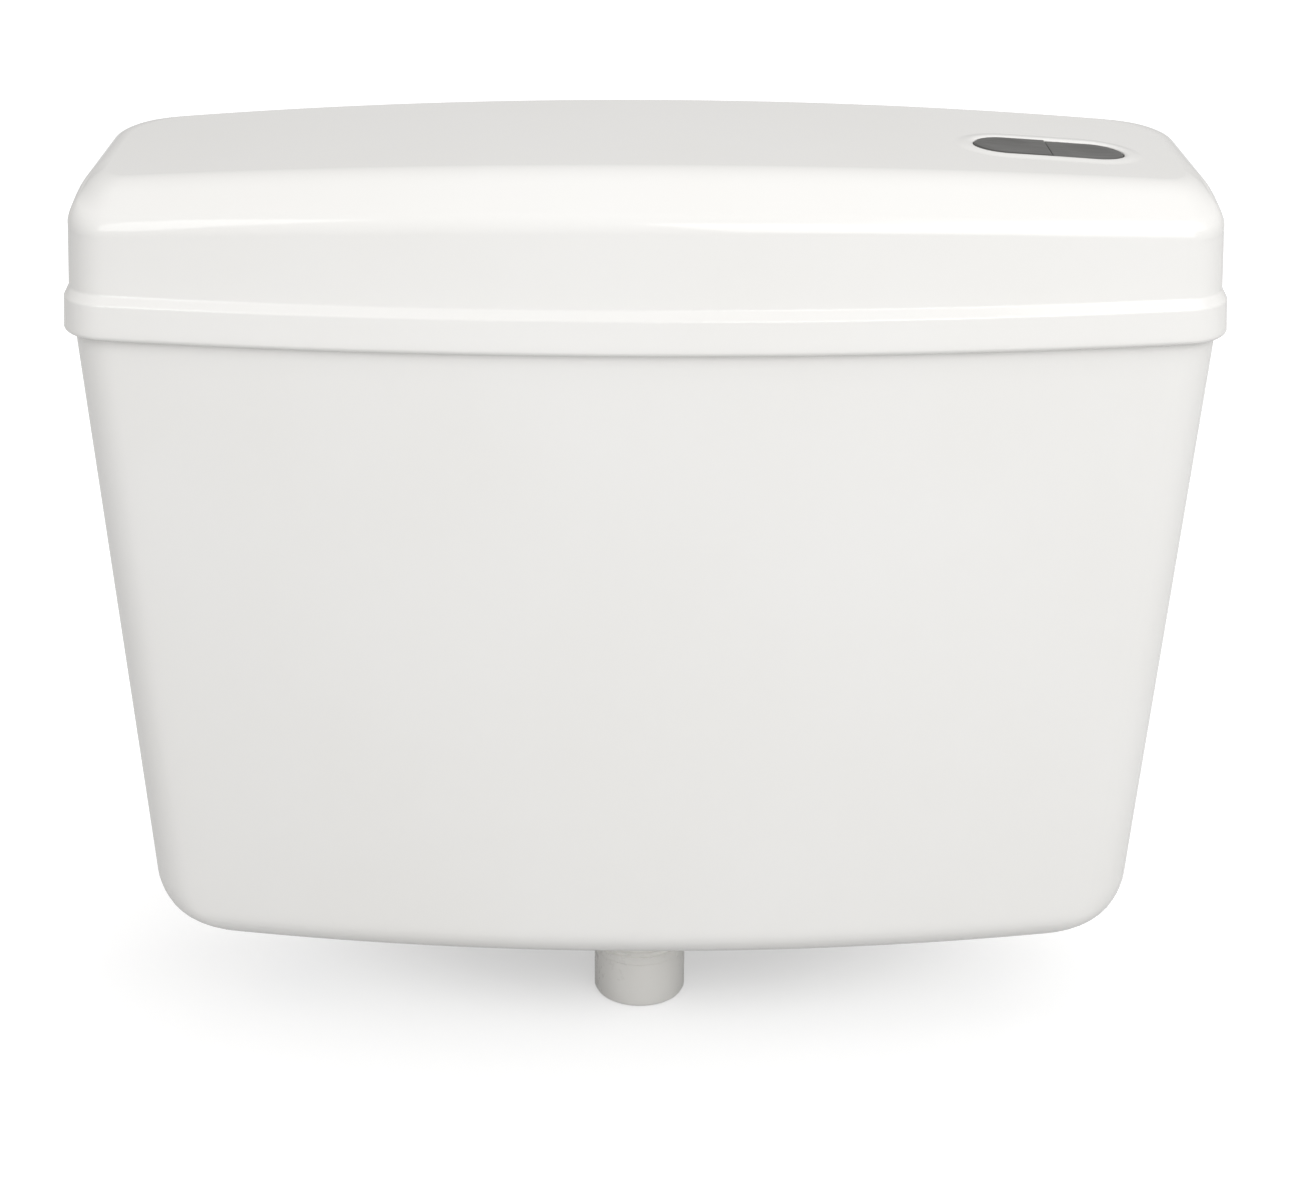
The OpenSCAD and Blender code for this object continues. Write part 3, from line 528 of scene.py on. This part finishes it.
def front_profile(j, t, x):
    """How far the lid's front lies in from the rim, and its height, at stage j of 7 from the wall to
    the top: a roll, the bevel, a wider roll. The wall t is measured square to the skin. The bevel keeps
    its slope, so it narrows with the shoulder as the top comes down towards the ends."""
    drop = crown_drop(x)
    rise = shoulder - (1 - wall_follow) * drop
    bevel_rise = rise - roll_low * sin(bevel_turn) - roll_high * (1 - sin(bevel_turn))
    z = crown_z - drop - rise
    if j <= 3:
        a = bevel_turn * j / 3
        inset = front_out + lid_draft + roll_low * (1 - cos(a))
        z += roll_low * sin(a)
    else:
        a = lerp(bevel_turn, pi / 2, max(0.0, (j - 4) / 3))
        inset = front_out + lid_draft + roll_low * (1 - cos(bevel_turn))
        inset += bevel_rise / tan(bevel_slope) * min(1.0, j - 3)
        inset += roll_high * (cos(bevel_turn) - cos(a))
        z += roll_low * sin(bevel_turn) + bevel_rise * min(1.0, j - 3)
        z += roll_high * (sin(a) - sin(bevel_turn))
    return inset + t * cos(a), z - t * sin(a)


def lid_plan(front_in, side_in, back_in, front_r, back_r):
    """The lid's plan, moved in at the front, the sides and the back, with its corners' radii."""
    half = lid_high.x - side_in
    bow = front_bow * (half / lid_high.x) ** 2
    return body_plan(half, lid_low.y + front_in, bow, lid_high.y - back_in, front_r, back_r)


def upper_ring(j, t):
    """The lid's outline at stage j of 7 from its wall to its top, moved in by the wall t."""
    middle_in = front_profile(j, t, 0.0)[0]
    a = pi / 2 * (1 - (1 - j / 7) ** 1.35)
    side_in = rim_out + lid_draft + side_r * (1 - cos(a)) + t * cos(a)
    back_in = back_r * (1 - cos(a)) + t * cos(a)
    side_z = crown_z - side_r * (1 - sin(a)) - t * sin(a)
    back_z = crown_z - back_r * (1 - sin(a)) - t * sin(a)
    front_corner_r = corner_r - t / 2 - front_corner_loss * j
    back_corner = top_corner_r + top_corner_growth * j
    plan = lid_plan(middle_in, side_in, back_in, front_corner_r, back_corner)
    side_y = min(y for x, y, s in plan if s == 1)
    ring = []
    for x, y, s in plan:
        front_in, front_z = front_profile(j, t, x)
        y += (front_in - middle_in) * (1 - ease(min(1.0, s)))
        past = corner_lead * min(1.0, s) + (max(0.0, y - side_y) if s >= 1 else 0.0)
        z = lerp(front_z, side_z - crown_drop(x), ease(min(1.0, past / corner_blend)))
        z = lerp(z, back_z - crown_drop(x), ease(max(0.0, s - 1)))
        ring.append(Vector((x, y, z)))
    return ring


def level_ring(h, front_in, side_in, back_in):
    """The lid's outline h above its lip, moved in at the front, the sides and the back."""
    plan = lid_plan(front_in, side_in, back_in, corner_r, top_corner_r)
    return [Vector((x, y, lid_low.z + h)) for x, y, s in plan]


lip_r = 0.0022
rim_draft = 0.0007
shelf_turn = radians(45)
shelf_r = 0.0015
shelf_h = 0.0156
shelf_out = front_out - rim_draft
shelf_flat = (shelf_out - 2 * shelf_r * (1 - cos(shelf_turn))) / tan(shelf_turn)
shelf_rise = 2 * shelf_r * sin(shelf_turn) + shelf_flat
brow_h = shelf_h - shelf_rise / 2
back_gain = 0.0024
chamfer = 0.001
stages = [i / 8 for i in range(57)]
turns = [shelf_turn * i / 6 for i in range(7)]
lip = [(lip_r * (1 + sin(a)), lip_r * (1 - cos(a))) for a in [radians(-90 + 11.25 * i) for i in range(9)]]
lip += [(lerp(lip_r, brow_h, i / 6), rim_draft * i / 6) for i in range(1, 6)]
shelf = [(shelf_r * sin(a), shelf_r * (1 - cos(a))) for a in turns]
shelf += [(shelf_rise - h, shelf_out - run) for h, run in reversed(shelf)]
narrow = (rim_out - rim_draft) / shelf_out
wall_high = upper_ring(0, 0.0)
outside = [level_ring(h, inset, inset, 0.0) for h, inset in lip]
outside += [level_ring(brow_h + h, rim_draft + run, rim_draft + run * narrow, 0.0) for h, run in shelf]
foot_ring = outside[-1]
for i in range(1, 8):
    outside.append([p.lerp(q, i / 8) for p, q in zip(foot_ring, wall_high)])
outside += [upper_ring(j, 0.0) for j in stages]
inside = [upper_ring(j, wall) for j in reversed(stages)]
inside += [level_ring(rim_h, front_out + wall, rim_out + wall, wall + back_gain)]
for h, run in ((rim_h, chamfer), (rim_h - chamfer, 0.0), (0.0, 0.0)):
    inside.append(level_ring(h, wall + run, wall + run, wall))
rings = closing_rings(inside[0], 10, lambda x: crown_z - wall - crown_drop(x))[::-1] + inside + outside
rings += closing_rings(outside[-1], 10, lambda x: crown_z - crown_drop(x))
bm = bmesh.new()
loft(bm, rings)
full_low, full_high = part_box("full_flush_key")
half_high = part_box("half_flush_key")[1]
key_play = 0.0005
slot_l = half_high.x - full_low.x + 2 * key_play
slot_w = full_high.y - full_low.y + 2 * key_play
slot_straight = (slot_l - slot_w) / 2
slot_x = (full_low.x + half_high.x) / 2
slot_y = (full_low.y + full_high.y) / 2
slot_z = crown_z - crown_drop(slot_x)
slot_tilt = atan(2 * crown * slot_x / crown_at**2)
key_frame = Matrix.Translation((slot_x, slot_y, slot_z)) @ Matrix.Rotation(slot_tilt, 4, "Y")


def slot_ring(out, h):
    """Points round the key opening, a distance out from its edge and h above the lid's top."""
    r = slot_w / 2 + out
    path = [(slot_straight, radians(-90 + 7.5 * i)) for i in range(25)]
    path += [(lerp(slot_straight, -slot_straight, i / 12), radians(90)) for i in range(1, 12)]
    path += [(-slot_straight, radians(90 + 7.5 * i)) for i in range(25)]
    path += [(lerp(-slot_straight, slot_straight, i / 12), radians(270)) for i in range(1, 12)]
    ring = []
    for along, a in path:
        x = slot_x + along + r * cos(a)
        ring.append(Vector((x, slot_y + r * sin(a), crown_z - crown_drop(x) + h)))
    return ring


collar_out = 0.0076
collar_h = 0.0005
crest_out = 0.002
lip_drop = 0.0004
lap = 0.0001
reach = 0.02
hole = bmesh.new()
bottom = slot_ring(collar_out - lap, -reach)
top = slot_ring(collar_out - lap, reach)
rings = closing_rings(bottom, 1, lambda x: slot_z - reach) + [bottom, top]
loft(hole, rings + closing_rings(top, 1, lambda x: slot_z + reach))
bm = cut_or_join(bm, hole, "DIFFERENCE")
swell = [i / 12 for i in range(13)]
collar = [(collar_out, -0.0015)]
collar += [(lerp(collar_out, crest_out, t), 0.00001 + collar_h * (1 - cos(pi * t)) / 2) for t in swell]
collar += [(crest_out * (1 - sin(a)), (collar_h + lip_drop) * cos(a) - lip_drop)
           for a in [pi / 2 * i / 8 for i in range(1, 9)]]
collar_foot = -wall - 0.0002
collar += [(0.0, collar_foot), (collar_out, collar_foot), collar[0]]
extras = bmesh.new()
loft(extras, [slot_ring(out, h) for out, h in collar])
peg_x = 0.014
peg_y = slot_w / 2 + 0.0046
peg_r = 0.0015
peg_foot = -0.0061
melt_r = 0.0027
flattened = Matrix.Diagonal((1, 1, 0.34, 1))
up = key_frame.to_3x3() @ Vector((0, 0, 1))
for sx in (-1, 1):
    for sy in (-1, 1):
        at = key_frame @ Vector((sx * peg_x, sy * peg_y, 0))
        cylinder(extras, at + up * peg_foot, up, peg_r, -peg_foot - wall / 2, 24)
        melted = Matrix.Translation(at + up * (peg_foot - 0.0005)) @ key_frame.to_3x3().to_4x4()
        bmesh.ops.create_uvsphere(
            extras, u_segments=24, v_segments=12, radius=melt_r, matrix=melted @ flattened)
rib_x = 0.14
rib_half = 0.001
rib_h = 0.009
rib_back = -wall - 0.006
rib_front = lid_low.y + front_profile(7, 0.0, 0.0)[0] + front_bow * (rib_x / lid_high.x) ** 2 + 0.004
for x in (-rib_x, -0.07, 0.0, 0.07):
    ceiling = crown_z - crown_drop(x) - wall
    block(extras, (x - rib_half, rib_front, ceiling - rib_h), (x + rib_half, rib_back, ceiling + wall / 3))
bm = cut_or_join(bm, extras, "UNION")
stands_for(mesh_piece("lid_shell", bm, gloss_white), "lid")

# The key guide: a round-ended well that hangs under the lid, moulded in satin white plastic.
# The lid's pegs pass through its flange, and their melted heads hold it up.
satin_white = moulded_plastic(
    "satin_white", (0.80, 0.795, 0.78), (0.76, 0.755, 0.735), 0.36, 0.000006, 1400.0)


def ease_edges(bm, width, keen=radians(35)):
    """Rounds every edge that is sharper than an angle."""
    bmesh.ops.recalc_face_normals(bm, faces=bm.faces)
    edges = [e for e in bm.edges if e.is_manifold and e.calc_face_angle() > keen]
    bmesh.ops.bevel(
        bm, geom=edges, offset=width, offset_type="OFFSET", affect="EDGES", segments=3, profile=0.5,
        material=-1)


def eased(node, width, material):
    """A moulding of a CAD node, with its flats made whole and its edges rounded."""
    bm = bmesh.new()
    bm.from_mesh(frame["nodes"][node].data)
    bmesh.ops.remove_doubles(bm, verts=bm.verts, dist=1e-6)
    bmesh.ops.dissolve_limit(bm, angle_limit=radians(0.6), verts=bm.verts, edges=bm.edges)
    ease_edges(bm, width)
    stands_for(mesh_piece(node + "_piece", bm, material), node)


eased("key_guide", 0.0004, satin_white)

# The two flush keys: dark grey caps that fill the opening side by side, each with a finger dish.
# They are moulded with a fine spark-eroded grain, and the full flush key stands the higher.
key_grey = moulded_plastic("key_grey", (0.074, 0.073, 0.069), (0.064, 0.063, 0.060), 0.32, 0.000012, 2600.0)
key_foot = full_low.z
key_round = 0.0007
dish_r = 0.150
dish = 0.00035
half_gap = 0.00012
key_corner = 0.0005
foot_in = 0.0004


def key_ring(side, inset, height):
    """The outline of the key on one side, moved in, with each point at the height given over its place."""
    cut = half_gap + inset / 2
    r = slot_w / 2 - key_play - inset
    c = max(key_corner - inset, 0.0001)
    flank = [(lerp(cut + c, slot_straight, i / 8), -r) for i in range(1, 8)]
    path = [(cut + c - c * cos(a), -r + c - c * sin(a)) for a in [radians(15 * i) for i in range(7)]]
    path += flank
    path += [(slot_straight + r * sin(a), -r * cos(a)) for a in [radians(6 * i) for i in range(31)]]
    path += [(u, -v) for u, v in reversed(flank)]
    path += [(cut + c - c * sin(a), r - c + c * cos(a)) for a in [radians(15 * i) for i in range(7)]]
    ring = []
    for u, v in path:
        x = slot_x + side * u
        ring.append(Vector((x, slot_y + v, height(x, slot_y + v))))
    return ring


for node, side, stand in (("full_flush_key", -1, 0.0003), ("half_flush_key", 1, -0.0001)):
    middle = Vector((slot_x + side * slot_l / 4, slot_y))

    def over(drop):
        return lambda x, y: slot_z - tan(slot_tilt) * (x - slot_x) + stand - drop

    def dished(x, y):
        return over(max(0.0, dish - (Vector((x, y)) - middle).length_squared / (2 * dish_r)))(x, y)

    foot_ring = key_ring(side, foot_in, lambda x, y: key_foot)
    rings = [[Vector((*middle, key_foot)).lerp(p, k / 4) for p in foot_ring] for k in range(5)]
    rings.append(key_ring(side, 0.0, lambda x, y: key_foot + foot_in))
    for a in [pi / 2 * i / 6 for i in range(7)]:
        rings.append(key_ring(side, key_round * (1 - cos(a)), over(key_round * (1 - sin(a)))))
    rim = rings[-1]
    for k in range(1, 17):
        drawn = [p.xy.lerp(middle, k / 16) for p in rim]
        rings.append([Vector((*q, dished(*q))) for q in drawn])
    bm = bmesh.new()
    loft(bm, rings)
    stands_for(mesh_piece(node + "_piece", bm, key_grey), node)

# The push rods: plain white stems pressed into the keys, each with a stop collar under the guide.
# Each foot is a blunt screwed button that pushes on its lever's pad.
mm = 0.001


def spun(profile, soften, segments=96):
    """A round piece: a profile of (radius, height) points in millimetres, spun about Z, with its edges
    rounded. A profile that starts and ends on the axis makes a solid, and any other a ring."""
    bm = bmesh.new()
    line = [bm.verts.new((r * mm, 0, h * mm)) for r, h in profile]
    ends = line[1:] if profile[0][0] == 0 else line[1:] + line[:1]
    for a, b in zip(line, ends):
        bm.edges.new((a, b))
    bmesh.ops.spin(
        bm, geom=bm.verts[:] + bm.edges[:], cent=(0, 0, 0), axis=(0, 0, 1), angle=2 * pi, steps=segments,
        use_merge=True)
    bmesh.ops.remove_doubles(bm, verts=bm.verts, dist=1e-7)
    ease_edges(bm, soften)
    return bm


guide_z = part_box("key_guide")[0].z
for node in ("full_push_rod", "half_push_rod"):
    low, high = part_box(node)
    stop = (guide_z - low.z) / mm
    length = (high.z - low.z) / mm
    bm = spun([
        (0, 0), (4, 0), (5, 1), (5, 2.6), (4.5, 2.9), (4.5, 3.4), (5, 3.7), (5, 6), (3.5, 7),
        (3.5, stop - 4), (6, stop - 3.4), (6, stop - 0.4), (3.5, stop - 0.4), (3.5, length),
        (0, length)], 0.0002, 48)
    bmesh.ops.translate(bm, verts=bm.verts, vec=(*((low.xy + high.xy) / 2), low.z))
    stands_for(mesh_piece(node + "_piece", bm, satin_white), node)


# The key springs: stainless wire wound between the guide's floor and each key's foot.
# They are caught round the push rods; the coil here keeps one length and does not close up as a key goes
# down.
def drawn_steel(name, tint, gloss):
    """Bright stainless wire or rod: fine lines along the draw, uneven polish and a few dull specks."""
    material = moulded_plastic(name, tint, [0.9 * c for c in tint], gloss, 0.000003, 5000.0)
    material.node_tree.nodes["Principled BSDF"].inputs["Metallic"].default_value = 1.0
    return material


steel = drawn_steel("steel", (0.62, 0.61, 0.6), 0.24)
spring_turns = 5
turn_steps = 32
wire = 0.00045
for node, joint in (("full_key_spring", "full_key_press"), ("half_key_spring", "half_key_press")):
    low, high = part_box(node)
    axis_at = (low.xy + high.xy) / 2
    radius = (high.x - low.x) / 2 - wire
    climb = (high.z - low.z - 2 * wire) / (spring_turns * turn_steps)
    bm = bmesh.new()
    start = Matrix.Translation((axis_at.x + radius, axis_at.y, low.z + wire))
    bmesh.ops.create_circle(
        bm, cap_ends=True, segments=12, radius=wire, matrix=start @ Matrix.Rotation(pi / 2, 4, "X"))
    bmesh.ops.spin(
        bm, geom=bm.verts[:] + bm.edges[:] + bm.faces[:], cent=(*axis_at, 0), axis=(0, 0, 1),
        dvec=(0, 0, climb), angle=2 * pi * spring_turns, steps=spring_turns * turn_steps)
    bmesh.ops.holes_fill(bm, edges=[e for e in bm.edges if e.is_boundary], sides=0)
    coil = mesh_piece(node + "_piece", bm, steel)
    stands_for(coil, node)
    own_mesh(coil)

# The lever bridge: a ribbed bar of white plastic laid across the tank on its two ledges.
# Three cheeks on it hold a stainless pin, pushed through from the back.
eased("lever_bridge", 0.0006, satin_white)
eased("lever_pin", 0.0004, steel)

# The two flush levers: blue plastic beams that rock on the pin. One pad of each lies under a push
# rod, and the two pads of its yoke under the disc that it lifts.
valve_blue = moulded_plastic(
    "valve_blue", (0.12, 0.30, 0.56), (0.105, 0.265, 0.51), 0.34, 0.000006, 1400.0)
eased("full_lever", 0.0001, valve_blue)
eased("half_lever", 0.0001, valve_blue)

# The valve's base: the outlet spigot, its screwed shank, the flange and the seat, in one white
# moulding. The thread is wound on as a ridge, and the back nut draws the flange down on its gasket.
outlet_white = moulded_plastic(
    "outlet_white", (0.86, 0.85, 0.82), (0.83, 0.82, 0.785), 0.30, 0.000004, 1200.0)


def thread_ridge(bm, radius, depth, pitch, low, turns):
    """Winds the ridge of a screw thread round Z: a small wedge, in millimetres, swept up a helix."""
    steps = 40
    root = radius - 1.2 * depth
    section = ((root, -0.36), (radius, -0.1), (radius, 0.1), (root, 0.36))
    wedge = [bm.verts.new((r * mm, 0, (low + h * pitch) * mm)) for r, h in section]
    face = bm.faces.new(wedge)
    bmesh.ops.spin(
        bm, geom=wedge + list(face.edges) + [face], cent=(0, 0, 0), axis=(0, 0, 1),
        dvec=(0, 0, pitch * mm / steps), angle=2 * pi * turns, steps=steps * turns)
    bmesh.ops.holes_fill(bm, edges=[e for e in bm.edges if e.is_boundary], sides=0)


base_low, base_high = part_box("valve_base")
spigot = (base_low.z - tank_low.z) / mm
bm = spun([
    (16.6, spigot), (19.2, spigot), (20, spigot + 1.5), (20, -32), (20.4, -31.4), (20.4, 6.5), (34, 6.5),
    (35, 7.5), (35, 22), (31.4, 22), (31.4, 11), (22.6, 11), (21.6, 15.5), (20, 15.5), (19, 11),
    (16.6, 9)], 0.0003, 128)
thread_ridge(bm, 21.1, 0.7, 2.3, -29.5, 11)
bmesh.ops.translate(bm, verts=bm.verts, vec=(*((base_low.xy + base_high.xy) / 2), tank_low.z))
stands_for(mesh_piece("valve_base_piece", bm, outlet_white), "valve_base")

# The rubber rings: a gasket over the tank's floor and a washer under it at each of the two tails.
# They are cut from black sheet, with a dull skin and a grey bloom.
rubber = moulded_plastic("rubber", (0.018, 0.018, 0.018), (0.032, 0.031, 0.03), 0.62, 0.00003, 700.0)
for node in ("base_gasket", "outlet_washer", "riser_gasket", "inlet_washer"):
    eased(node, 0.0003, rubber)

# The outlet's back nut: a wide flange with twelve grip ribs, moulded in white plastic.
# It is run up the shank from below and clamps the washer to the tank's underside.
eased("outlet_nut", 0.0004, outlet_white)

# The valve tower: a drum on four legs, moulded in blue plastic, that clips into the base.
# Its neck guides the sleeve and the overflow tube.
eased("valve_tower", 0.0005, valve_blue)

# The lifting parts: a grey sleeve and a white collar, each with a disc, round the overflow tube.
# The tube's foot carries the rubber seal, its grey retainer and a float that slows the fall.
eased("lift_sleeve", 0.0005, key_grey)
eased("overflow_tube", 0.0004, satin_white)
eased("lift_collar", 0.0005, satin_white)
eased("flush_seal", 0.0004, rubber)
eased("seal_retainer", 0.0002, key_grey)
eased("control_float", 0.0010, satin_white)

# The fill valve's standing pipe: a white plastic column, turned as one profile.
# Its flange sits on a gasket, and its screwed tail goes out through the tank's floor.
riser_low, riser_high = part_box("fill_riser")
tail = (riser_low.z - tank_low.z) / mm
column = (riser_high.z - tank_low.z) / mm
bm = spun([
    (6.5, tail), (9.3, tail), (9.5, tail + 1), (9.5, -14.2), (9.98, -13.7), (9.98, 5.5), (16.98, 5.5),
    (16.98, 8.5), (12.48, 8.5), (9.48, 14.5), (9.48, column), (6.5, column)], 0.0003, 96)
thread_ridge(bm, 10.48, 0.9, 1.814, tail + 2.2, 6)
thread_ridge(bm, 10.88, 0.9, 1.814, -12.4, 6)
bmesh.ops.translate(bm, verts=bm.verts, vec=(*((riser_low.xy + riser_high.xy) / 2), tank_low.z))
stands_for(mesh_piece("fill_riser_piece", bm, satin_white), "fill_riser")

# The inlet's back nut and strainer: a white plastic hexagon screwed up under the floor, which keeps
# its CAD mesh, and a slotted blue cup pushed into the end of the tail.
frame["nodes"]["inlet_nut"].material_slots[0].material = outlet_white
eased("inlet_filter", 0.0002, valve_blue)

# The fill valve's head: a white body with a side boss, a rubber diaphragm and a blue screwed cap.
# The cap's ears carry a stainless pin, and a second pin through its top shuts the valve.
eased("fill_head", 0.0002, satin_white)
eased("diaphragm", 0.0003, rubber)
eased("head_cap", 0.00015, valve_blue)
eased("valve_pin", 0.0003, steel)
eased("arm_pin", 0.0003, steel)

# The float: a blue plastic arm that swings on the pin in the cap's ears.
# A white cup hangs from it by an adjusting screw, and floats the arm up to shut the valve.
eased("float_arm", 0.0005, valve_blue)
eased("float_screw", 0.0004, satin_white)
eased("float_cup", 0.0012, satin_white)

# The outflow tube: a plain pipe of white plastic pushed into the head's boss.
# It lets the water out near the tank's floor.
eased("outflow_tube", 0.0003, satin_white)

# The size: the box of the finished model.
low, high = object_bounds()
